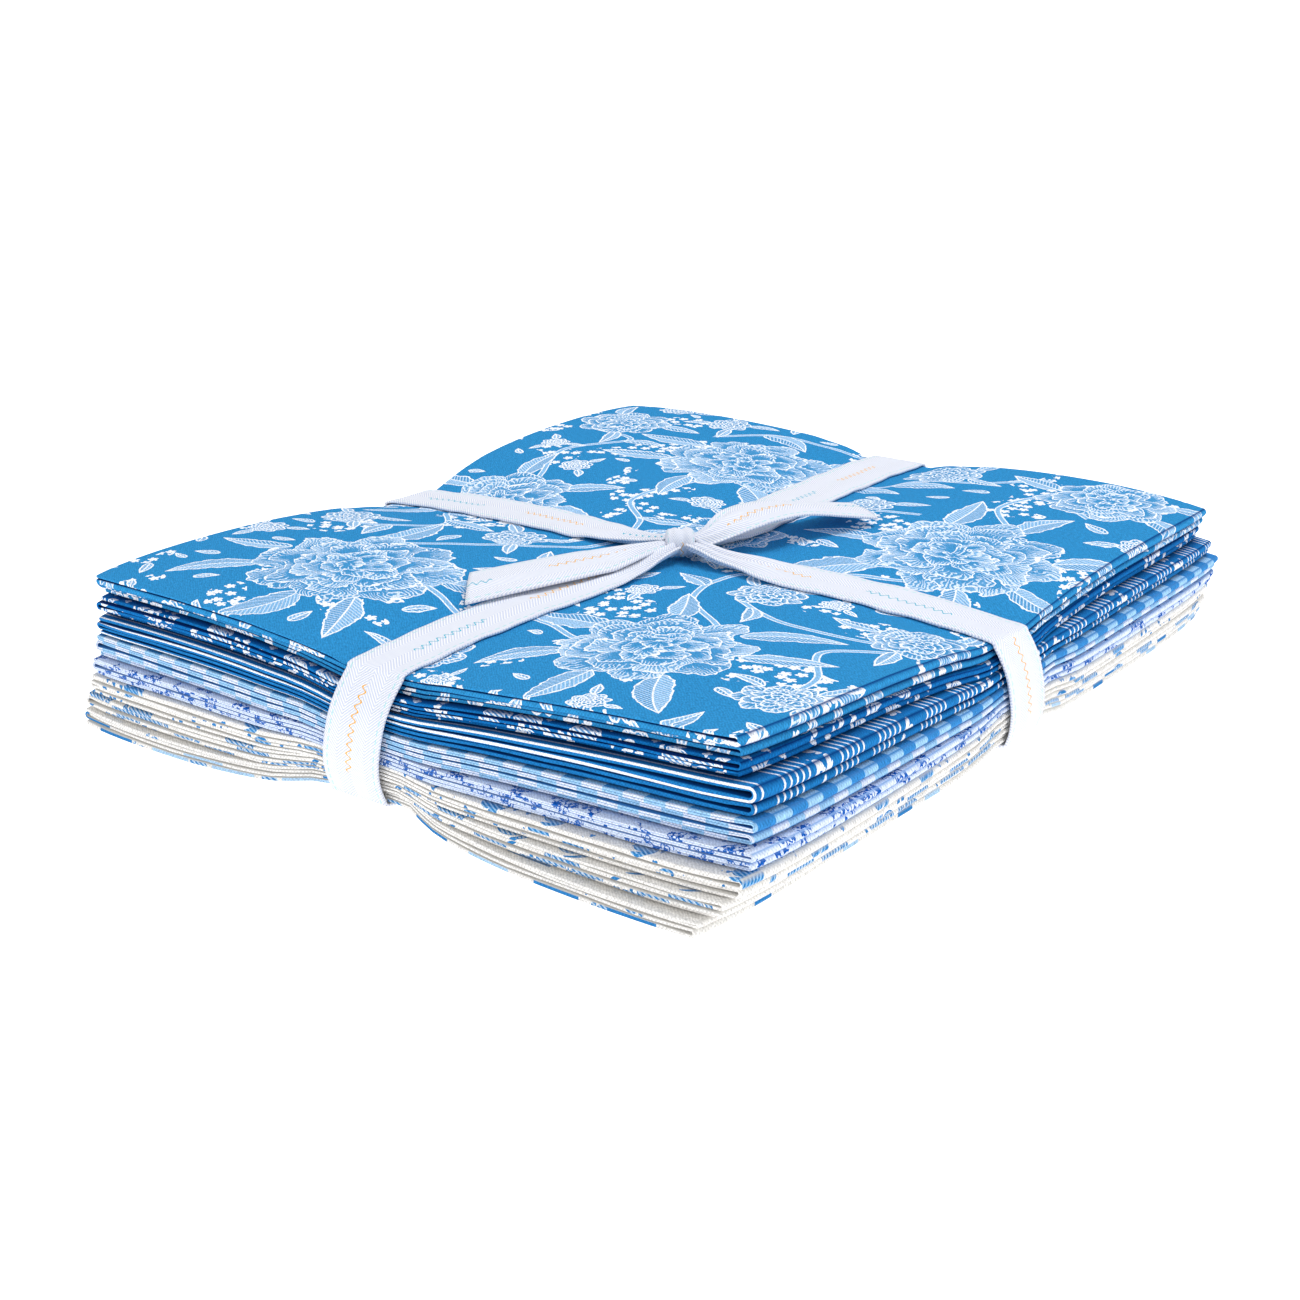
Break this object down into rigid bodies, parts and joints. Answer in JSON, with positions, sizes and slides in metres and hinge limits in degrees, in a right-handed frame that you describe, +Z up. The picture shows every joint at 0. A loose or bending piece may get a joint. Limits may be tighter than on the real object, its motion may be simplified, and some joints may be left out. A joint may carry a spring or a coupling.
{
  "type": "fabric bundle",
  "caption": "Flat bundle of cotton cloth lengths in blue and off-white prints, each folded back and forth, tied across both ways with white twill tape.",
  "frame": {"origin": "middle of the bounding box's underside, on the surface that the bundle rests on", "axes": "+Z up, +Y along the longer side of the folded cloth towards the back, +X along its shorter side towards the folded ends that show on the right of the picture"},
  "size_m": [0.2366, 0.2814, 0.0514],
  "materials": {
    "cloth_large_floral": "mid-blue cotton with a large white line-drawn flower print",
    "cloth_small_floral": "deep-blue cotton with small dense white flowers",
    "cloth_ticking": "blue cotton with groups of narrow white stripes",
    "cloth_gingham": "blue and pale-blue woven check",
    "cloth_blue_sprig": "very pale blue cotton with a deep-blue sprig print",
    "cloth_dotted": "off-white cotton with small blue marks",
    "cloth_leafy": "off-white cotton with blue line-drawn leaves",
    "cloth_blocks": "off-white cotton with spaced blue motifs",
    "twill_tape": "white herringbone twill tape"
  },
  "bodies": {
    "root": {"cloth_large_floral": "cloth_large_floral", "cloth_small_floral": "cloth_small_floral", "cloth_ticking": "cloth_ticking", "cloth_gingham": "cloth_gingham", "cloth_blue_sprig": "cloth_blue_sprig", "cloth_dotted": "cloth_dotted", "cloth_leafy": "cloth_leafy", "cloth_blocks": "cloth_blocks", "ribbon_across": "twill_tape", "ribbon_along": "twill_tape", "ribbon_knot": "twill_tape", "ribbon_tail_front": "twill_tape", "ribbon_tail_back": "twill_tape"}
  },
  "joints": []
}
